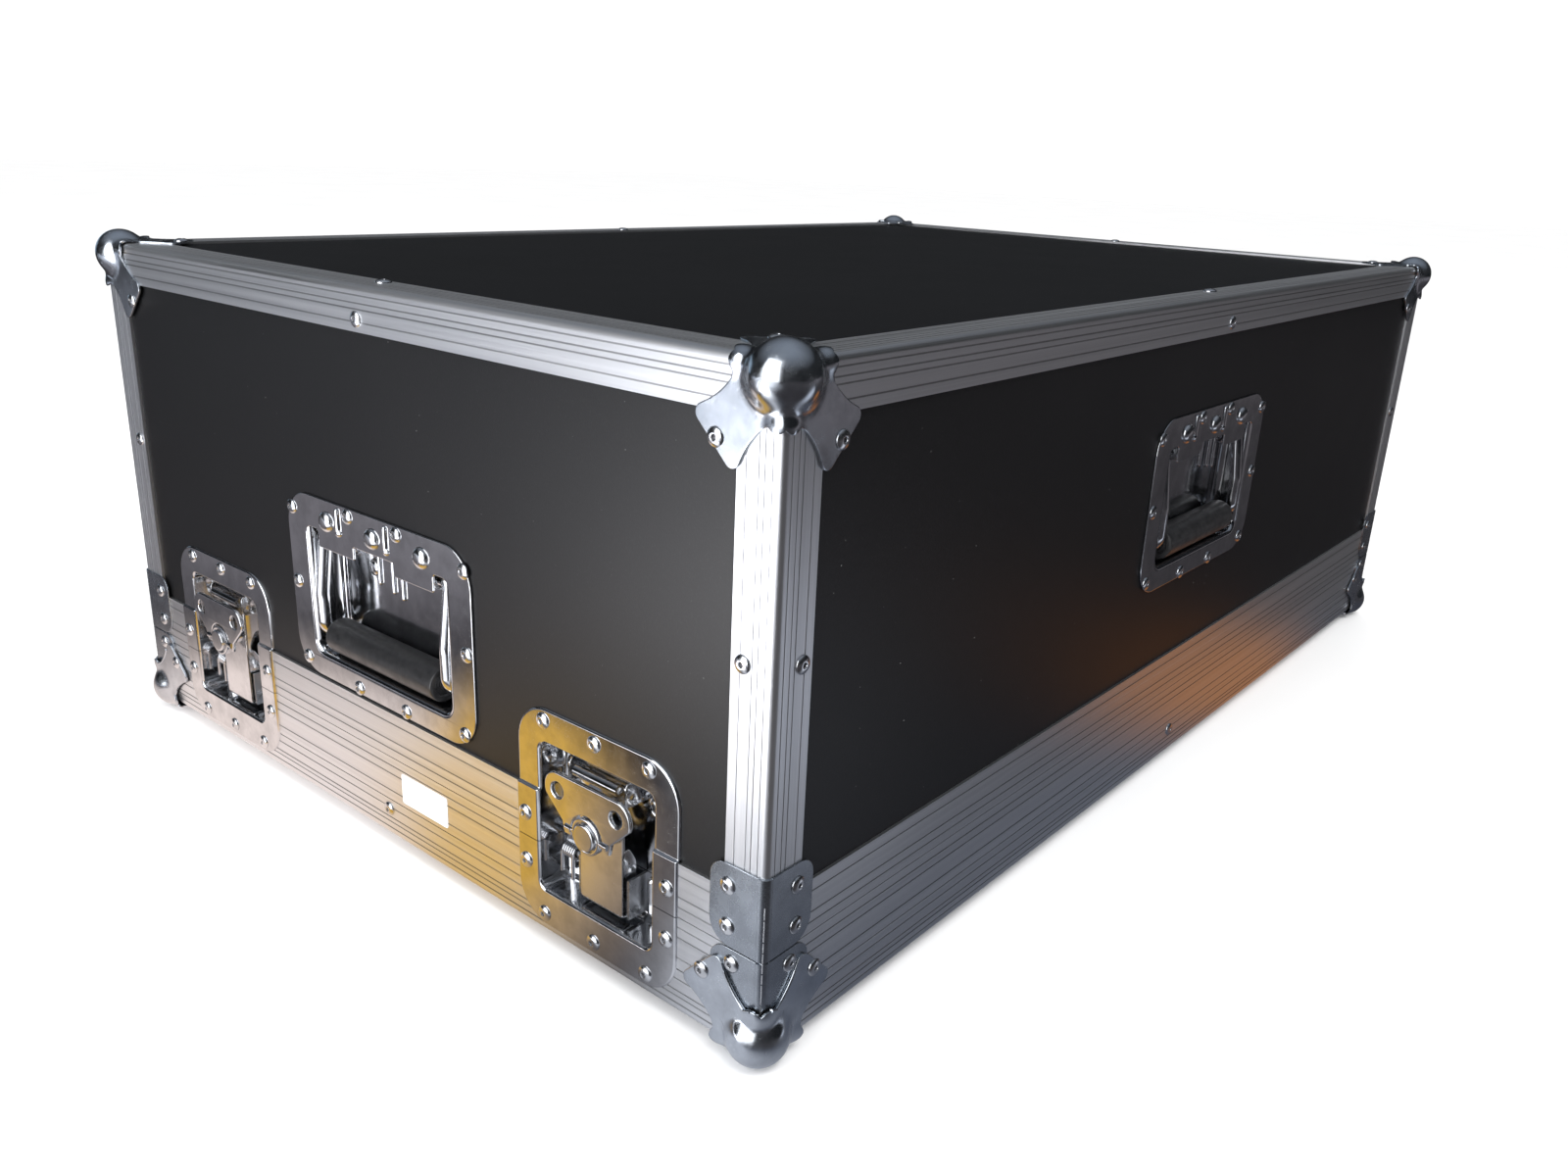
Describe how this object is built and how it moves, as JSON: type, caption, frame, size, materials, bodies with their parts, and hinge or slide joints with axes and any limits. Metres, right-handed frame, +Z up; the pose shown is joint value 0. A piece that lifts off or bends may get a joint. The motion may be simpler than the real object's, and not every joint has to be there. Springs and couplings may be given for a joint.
{
  "type": "equipment flight case",
  "caption": "Flight case with a deep lift-off cover on a shallow tray, aluminium edges, ball corners, recessed twist latches at both ends and a recessed sprung handle on each side.",
  "frame": {"origin": "centre of the footprint, on the floor under the four lower ball corners", "axes": "+X along the length (the two latched ends face -X and +X), +Y across the width to the back, +Z up"},
  "size_m": [0.814, 0.5388, 0.304],
  "materials": {
    "black_laminate": "plywood with a black phenolic film, fine grain, semi-gloss",
    "aluminium_edging": "satin anodised, drawn along its length",
    "plated_corner_steel": "bright zinc plate with handling marks",
    "plated_dish_steel": "bright plated pressed steel",
    "plated_moving_steel": "bright plated steel",
    "inner_steel": "zinc plated, duller inside the recess",
    "spring_steel": "plated spring wire",
    "rivet_steel": "plated blind rivet heads",
    "grip_rubber": "smooth black sleeve, slight sheen",
    "foam": "closed-cell foam sheet, matt",
    "label_paper": "blank white sticker"
  },
  "bodies": {
    "base_tray": {"base_panel": "black_laminate", "base_walls": "black_laminate", "base_rim_extrusions": "aluminium_edging", "bottom_edge_angles": "aluminium_edging", "base_ball_corners": "plated_corner_steel", "base_corner_braces": "plated_corner_steel", "base_rivets": "rivet_steel", "base_foam": "foam", "label": "label_paper", "latch_brackets": "inner_steel", "latch_springs": "spring_steel", "right_front_lower_dish": "plated_dish_steel", "right_back_lower_dish": "plated_dish_steel", "left_back_lower_dish": "plated_dish_steel", "left_front_lower_dish": "plated_dish_steel"},
    "cover": {"top_panel": "black_laminate", "front_panel": "black_laminate", "back_panel": "black_laminate", "left_panel": "black_laminate", "right_panel": "black_laminate", "top_edge_angles": "aluminium_edging", "vertical_edge_angles": "aluminium_edging", "cover_rim_extrusions": "aluminium_edging", "cover_ball_corners": "plated_corner_steel", "cover_corner_braces": "plated_corner_steel", "cover_rivets": "rivet_steel", "handle_rivets": "rivet_steel", "latch_keepers": "inner_steel", "handle_brackets": "inner_steel", "handle_springs": "spring_steel", "right_front_upper_dish": "plated_dish_steel", "right_back_upper_dish": "plated_dish_steel", "left_back_upper_dish": "plated_dish_steel", "left_front_upper_dish": "plated_dish_steel", "front_handle_dish": "plated_dish_steel", "right_handle_dish": "plated_dish_steel", "back_handle_dish": "plated_dish_steel", "left_handle_dish": "plated_dish_steel"},
    "right_front_hook": {"right_front_hook": "inner_steel"},
    "right_front_twist_boss": {"right_front_twist_boss": "plated_moving_steel"},
    "right_front_wing": {"right_front_wing": "plated_moving_steel"},
    "right_back_hook": {"right_back_hook": "inner_steel"},
    "right_back_twist_boss": {"right_back_twist_boss": "plated_moving_steel"},
    "right_back_wing": {"right_back_wing": "plated_moving_steel"},
    "left_back_hook": {"left_back_hook": "inner_steel"},
    "left_back_twist_boss": {"left_back_twist_boss": "plated_moving_steel"},
    "left_back_wing": {"left_back_wing": "plated_moving_steel"},
    "left_front_hook": {"left_front_hook": "inner_steel"},
    "left_front_twist_boss": {"left_front_twist_boss": "plated_moving_steel"},
    "left_front_wing": {"left_front_wing": "plated_moving_steel"},
    "front_handle": {"front_handle_bail": "plated_moving_steel", "front_handle_grip": "grip_rubber"},
    "right_handle": {"right_handle_bail": "plated_moving_steel", "right_handle_grip": "grip_rubber"},
    "back_handle": {"back_handle_bail": "plated_moving_steel", "back_handle_grip": "grip_rubber"},
    "left_handle": {"left_handle_bail": "plated_moving_steel", "left_handle_grip": "grip_rubber"}
  },
  "joints": [
    {"name": "cover_lift", "type": "slide", "parent": "base_tray", "child": "cover", "axis": [0, 0, 1], "range_m": [0, 0.26]},
    {"name": "right_front_hook_swing", "type": "hinge", "parent": "base_tray", "child": "right_front_hook", "pos_m": [0.3905, -0.1625, 0.0383], "axis": [0, 1, 0], "range_deg": [0, 35]},
    {"name": "right_front_twist", "type": "hinge", "parent": "right_front_hook", "child": "right_front_twist_boss", "pos_m": [0.404, -0.1625, 0.0745], "axis": [1, 0, 0], "range_deg": [0, 180]},
    {"name": "right_front_wing_fold", "type": "hinge", "parent": "right_front_twist_boss", "child": "right_front_wing", "pos_m": [0.404, -0.1625, 0.0745], "axis": [0, 1, 0], "range_deg": [0, 90]},
    {"name": "right_back_hook_swing", "type": "hinge", "parent": "base_tray", "child": "right_back_hook", "pos_m": [0.3905, 0.1625, 0.0383], "axis": [0, 1, 0], "range_deg": [0, 35]},
    {"name": "right_back_twist", "type": "hinge", "parent": "right_back_hook", "child": "right_back_twist_boss", "pos_m": [0.404, 0.1625, 0.0745], "axis": [1, 0, 0], "range_deg": [0, 180]},
    {"name": "right_back_wing_fold", "type": "hinge", "parent": "right_back_twist_boss", "child": "right_back_wing", "pos_m": [0.404, 0.1625, 0.0745], "axis": [0, 1, 0], "range_deg": [0, 90]},
    {"name": "left_back_hook_swing", "type": "hinge", "parent": "base_tray", "child": "left_back_hook", "pos_m": [-0.3905, 0.1625, 0.0383], "axis": [0, -1, 0], "range_deg": [0, 35]},
    {"name": "left_back_twist", "type": "hinge", "parent": "left_back_hook", "child": "left_back_twist_boss", "pos_m": [-0.404, 0.1625, 0.0745], "axis": [-1, 0, 0], "range_deg": [0, 180]},
    {"name": "left_back_wing_fold", "type": "hinge", "parent": "left_back_twist_boss", "child": "left_back_wing", "pos_m": [-0.404, 0.1625, 0.0745], "axis": [0, -1, 0], "range_deg": [0, 90]},
    {"name": "left_front_hook_swing", "type": "hinge", "parent": "base_tray", "child": "left_front_hook", "pos_m": [-0.3905, -0.1625, 0.0383], "axis": [0, -1, 0], "range_deg": [0, 35]},
    {"name": "left_front_twist", "type": "hinge", "parent": "left_front_hook", "child": "left_front_twist_boss", "pos_m": [-0.404, -0.1625, 0.0745], "axis": [-1, 0, 0], "range_deg": [0, 180]},
    {"name": "left_front_wing_fold", "type": "hinge", "parent": "left_front_twist_boss", "child": "left_front_wing", "pos_m": [-0.404, -0.1625, 0.0745], "axis": [0, -1, 0], "range_deg": [0, 90]},
    {"name": "front_handle_swing", "type": "hinge", "parent": "cover", "child": "front_handle", "pos_m": [0, -0.2555, 0.211], "axis": [-1, 0, 0], "range_deg": [0, 90], "stiffness_Nm_per_rad": 0.12, "springref_deg": -34.38},
    {"name": "right_handle_swing", "type": "hinge", "parent": "cover", "child": "right_handle", "pos_m": [0.393, 0, 0.163], "axis": [0, -1, 0], "range_deg": [0, 90], "stiffness_Nm_per_rad": 0.12, "springref_deg": -34.38},
    {"name": "back_handle_swing", "type": "hinge", "parent": "cover", "child": "back_handle", "pos_m": [0, 0.2555, 0.211], "axis": [1, 0, 0], "range_deg": [0, 90], "stiffness_Nm_per_rad": 0.12, "springref_deg": -34.38},
    {"name": "left_handle_swing", "type": "hinge", "parent": "cover", "child": "left_handle", "pos_m": [-0.393, 0, 0.163], "axis": [0, 1, 0], "range_deg": [0, 90], "stiffness_Nm_per_rad": 0.12, "springref_deg": -34.38}
  ]
}
